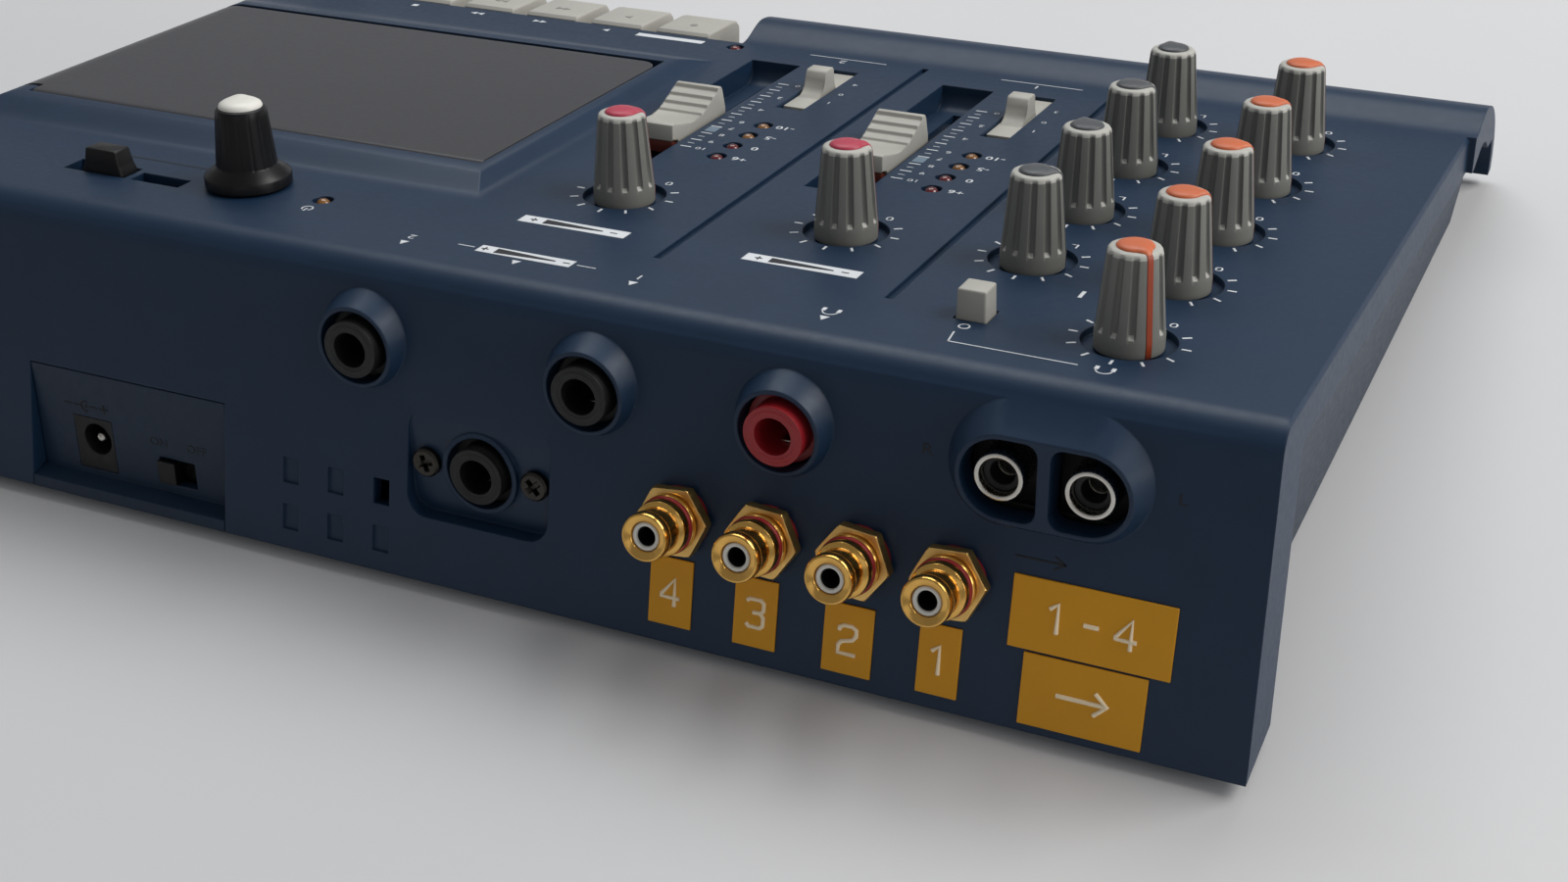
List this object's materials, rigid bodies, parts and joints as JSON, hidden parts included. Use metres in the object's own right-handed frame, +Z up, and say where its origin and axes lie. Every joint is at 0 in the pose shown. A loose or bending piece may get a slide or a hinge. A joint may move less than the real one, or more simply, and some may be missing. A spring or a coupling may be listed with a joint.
{
  "type": "four track cassette recorder",
  "caption": "Wedge-shaped desktop mixer with a lidded cassette deck, transport keys, fluted knobs, faders and a row of jacks across its rear.",
  "frame": {"origin": "on the table, under the middle of the object's box", "axes": "+X to the user's right, along the longest side; +Y to the rear, where the jacks are; +Z up"},
  "size_m": [0.29, 0.1932, 0.0665],
  "materials": {
    "shell": "fine-grained moulded plastic, satin",
    "base": "fine-grained moulded plastic, satin",
    "lid": "smooth moulded plastic, satin",
    "key": "moulded plastic, matte",
    "knob": "moulded plastic, matte",
    "orange_plastic": "moulded plastic, matte",
    "dark_plastic": "moulded plastic, matte",
    "crimson_plastic": "moulded plastic, matte",
    "black_plastic": "moulded plastic, satin",
    "white_plastic": "moulded plastic, matte",
    "red_plastic": "moulded plastic, satin",
    "print_white": "printed ink",
    "print_black": "printed ink",
    "label": "embossed tape, glossy",
    "amber_lens": "clear tinted plastic",
    "red_lens": "clear tinted plastic",
    "board": "coated laminate",
    "steel": "zinc plated sheet",
    "bright_steel": "ground steel",
    "head_metal": "polished",
    "nickel": "nickel plate",
    "gold": "gold-coloured plate, polished",
    "brass": "turned",
    "rubber": "matte"
  },
  "bodies": {
    "case": {"top_shell": "shell", "bottom_shell": "base", "deck_chassis": "steel", "motor": "steel", "drive_belt": "rubber", "key_shaft": "bright_steel", "fader_bodies": "steel", "switch_bodies": "black_plastic", "pot_bodies": "steel", "counter_frame": "black_plastic", "dc_jack": "black_plastic", "main_board": "board", "jack_board": "board", "input_jacks": "black_plastic", "phones_jack": "red_plastic", "line_out_jacks": "nickel", "tape_out_jacks": "gold", "tape_out_nuts": "gold", "tape_out_washers": "red_plastic", "tape_out_inserts": "white_plastic", "label_tags": "label", "amber_lamps": "amber_lens", "red_lamps": "red_lens", "rubber_feet": "rubber", "case_screws": "bright_steel", "jack_screws": "bright_steel"},
    "lid": {"cassette_lid": "lid"},
    "head_carrier": {"head_plate": "steel", "tape_heads": "head_metal"},
    "roller": {"pinch_roller": "rubber"},
    "capstan": {"capstan_flywheel": "bright_steel"},
    "motor_rotor": {"motor_pulley": "brass"},
    "supply_hub": {"supply_spindle": "white_plastic"},
    "takeup_hub": {"takeup_spindle": "white_plastic"},
    "record_key": {"key_record": "key"},
    "play_key": {"key_play": "key"},
    "rewind_key": {"key_rewind": "key"},
    "forward_key": {"key_forward": "key"},
    "stop_key": {"key_stop": "key"},
    "pause_key": {"key_pause": "key"},
    "fader_1": {"fader_cap_1": "key"},
    "fader_2": {"fader_cap_2": "key"},
    "record_switch_1": {"rec_switch_1": "key"},
    "record_switch_2": {"rec_switch_2": "key"},
    "mono": {"mono_button": "key"},
    "counter_reset": {"counter_button": "key"},
    "counter_drums": {"counter_wheels": "black_plastic"},
    "power": {"power_switch": "key"},
    "level_1_knob": {"knob_level_1": "knob"},
    "level_2_knob": {"knob_level_2": "knob"},
    "level_3_knob": {"knob_level_3": "knob"},
    "level_4_knob": {"knob_level_4": "knob"},
    "pan_1_knob": {"knob_pan_1": "knob"},
    "pan_2_knob": {"knob_pan_2": "knob"},
    "pan_3_knob": {"knob_pan_3": "knob"},
    "pan_4_knob": {"knob_pan_4": "knob"},
    "phones_knob": {"knob_phones": "knob"},
    "trim_1_knob": {"knob_trim_1": "knob"},
    "trim_2_knob": {"knob_trim_2": "knob"},
    "pitch_knob": {"knob_pitch": "black_plastic"}
  },
  "joints": [
    {"name": "lid_hinge", "type": "hinge", "parent": "case", "child": "lid", "pos_m": [0.08015, 0.02529, 0.04609], "axis": [-1, 0, 0], "range_deg": [0, 75]},
    {"name": "record_press", "type": "hinge", "parent": "case", "child": "record_key", "pos_m": [0.0332, -0.05827, 0.01783], "axis": [1, 0, 0], "range_deg": [0, 7], "stiffness_Nm_per_rad": 0.4, "springref_deg": -8.59},
    {"name": "play_press", "type": "hinge", "parent": "case", "child": "play_key", "pos_m": [0.0506, -0.05827, 0.01783], "axis": [1, 0, 0], "range_deg": [0, 7], "stiffness_Nm_per_rad": 0.4, "springref_deg": -8.59},
    {"name": "rewind_press", "type": "hinge", "parent": "case", "child": "rewind_key", "pos_m": [0.068, -0.05827, 0.01783], "axis": [1, 0, 0], "range_deg": [0, 7], "stiffness_Nm_per_rad": 0.4, "springref_deg": -8.59},
    {"name": "forward_press", "type": "hinge", "parent": "case", "child": "forward_key", "pos_m": [0.0854, -0.05827, 0.01783], "axis": [1, 0, 0], "range_deg": [0, 7], "stiffness_Nm_per_rad": 0.4, "springref_deg": -8.59},
    {"name": "stop_press", "type": "hinge", "parent": "case", "child": "stop_key", "pos_m": [0.1028, -0.05827, 0.01783], "axis": [1, 0, 0], "range_deg": [0, 7], "stiffness_Nm_per_rad": 0.4, "springref_deg": -8.59},
    {"name": "pause_press", "type": "hinge", "parent": "case", "child": "pause_key", "pos_m": [0.1202, -0.05827, 0.01783], "axis": [1, 0, 0], "range_deg": [0, 7], "stiffness_Nm_per_rad": 0.4, "springref_deg": -8.59},
    {"name": "head_slide", "type": "slide", "parent": "case", "child": "head_carrier", "axis": [0, 0.9763, 0.2164], "range_m": [0, 0.0034]},
    {"name": "roller_spin", "type": "hinge", "parent": "head_carrier", "child": "roller", "pos_m": [0.10615, -0.0366, 0.02263], "axis": [0, -0.2164, 0.9763], "continuous": true},
    {"name": "motor_spin", "type": "hinge", "parent": "case", "child": "motor_rotor", "pos_m": [0.044, 0.01418, 0.02365], "axis": [0, -0.2164, 0.9763], "continuous": true},
    {"name": "capstan_spin", "type": "hinge", "parent": "case", "child": "capstan", "pos_m": [0.10615, -0.02573, 0.0189], "axis": [0, -0.2164, 0.9763], "continuous": true},
    {"name": "supply_spin", "type": "hinge", "parent": "case", "child": "supply_hub", "pos_m": [0.0589, -0.00057, 0.0255], "axis": [0, -0.2164, 0.9763], "continuous": true},
    {"name": "takeup_spin", "type": "hinge", "parent": "case", "child": "takeup_hub", "pos_m": [0.1014, -0.00057, 0.0255], "axis": [0, -0.2164, 0.9763], "continuous": true},
    {"name": "counter_spin", "type": "hinge", "parent": "case", "child": "counter_drums", "pos_m": [0.0763, 0.05501, 0.04233], "axis": [1, 0, 0], "continuous": true},
    {"name": "fader_slide_1", "type": "slide", "parent": "case", "child": "fader_1", "axis": [0, 0.9763, 0.2164], "range_m": [-0.03375, 0.01125]},
    {"name": "fader_slide_2", "type": "slide", "parent": "case", "child": "fader_2", "axis": [0, 0.9763, 0.2164], "range_m": [-0.03375, 0.01125]},
    {"name": "record_switch_slide_1", "type": "slide", "parent": "case", "child": "record_switch_1", "axis": [0, 0.9763, 0.2164], "range_m": [0, 0.003]},
    {"name": "record_switch_slide_2", "type": "slide", "parent": "case", "child": "record_switch_2", "axis": [0, 0.9763, 0.2164], "range_m": [0, 0.003]},
    {"name": "mono_press", "type": "slide", "parent": "case", "child": "mono", "axis": [0, 0.2164, -0.9763], "range_m": [0, 0.002], "stiffness_N_per_m": 200, "springref_m": -0.002},
    {"name": "counter_press", "type": "slide", "parent": "case", "child": "counter_reset", "axis": [0, 0.2164, -0.9763], "range_m": [0, 0.002], "stiffness_N_per_m": 200, "springref_m": -0.002},
    {"name": "level_1_turn", "type": "hinge", "parent": "case", "child": "level_1_knob", "pos_m": [-0.113, 0.02327, 0.0441], "axis": [0, -0.2164, 0.9763], "range_deg": [-248, 52]},
    {"name": "level_2_turn", "type": "hinge", "parent": "case", "child": "level_2_knob", "pos_m": [-0.113, -0.00289, 0.0383], "axis": [0, -0.2164, 0.9763], "range_deg": [-248, 52]},
    {"name": "level_3_turn", "type": "hinge", "parent": "case", "child": "level_3_knob", "pos_m": [-0.113, -0.02906, 0.0325], "axis": [0, -0.2164, 0.9763], "range_deg": [-249, 51]},
    {"name": "level_4_turn", "type": "hinge", "parent": "case", "child": "level_4_knob", "pos_m": [-0.113, -0.05522, 0.0267], "axis": [0, -0.2164, 0.9763], "range_deg": [-247, 53]},
    {"name": "pan_1_turn", "type": "hinge", "parent": "case", "child": "pan_1_knob", "pos_m": [-0.0873, 0.02327, 0.0441], "axis": [0, -0.2164, 0.9763], "range_deg": [-255, 45]},
    {"name": "pan_2_turn", "type": "hinge", "parent": "case", "child": "pan_2_knob", "pos_m": [-0.0873, -0.00289, 0.0383], "axis": [0, -0.2164, 0.9763], "range_deg": [0, 300]},
    {"name": "pan_3_turn", "type": "hinge", "parent": "case", "child": "pan_3_knob", "pos_m": [-0.0873, -0.02906, 0.0325], "axis": [0, -0.2164, 0.9763], "range_deg": [-250, 50]},
    {"name": "pan_4_turn", "type": "hinge", "parent": "case", "child": "pan_4_knob", "pos_m": [-0.0873, -0.05522, 0.0267], "axis": [0, -0.2164, 0.9763], "range_deg": [0, 300]},
    {"name": "phones_turn", "type": "hinge", "parent": "case", "child": "phones_knob", "pos_m": [-0.113, 0.04934, 0.04988], "axis": [0, -0.2164, 0.9763], "range_deg": [-199, 101]},
    {"name": "trim_1_turn", "type": "hinge", "parent": "case", "child": "trim_1_knob", "pos_m": [-0.0526, 0.02415, 0.0443], "axis": [0, -0.2164, 0.9763], "range_deg": [-263, 37]},
    {"name": "trim_2_turn", "type": "hinge", "parent": "case", "child": "trim_2_knob", "pos_m": [-0.0076, 0.02415, 0.0443], "axis": [0, -0.2164, 0.9763], "range_deg": [-263, 37]},
    {"name": "pitch_turn", "type": "hinge", "parent": "case", "child": "pitch_knob", "pos_m": [0.0595, 0.04807, 0.0496], "axis": [0, -0.2164, 0.9763], "range_deg": [-10, 290]},
    {"name": "power_slide", "type": "slide", "parent": "case", "child": "power", "axis": [-1, 0, 0], "range_m": [0, 0.004]}
  ],
  "couplings": [
    {"joint": "head_slide", "follows": "play_press", "m_per_rad": 0.027828},
    {"joint": "capstan_spin", "follows": "motor_spin", "ratio": 0.26471},
    {"joint": "counter_spin", "follows": "takeup_spin", "ratio": 0.5}
  ]
}
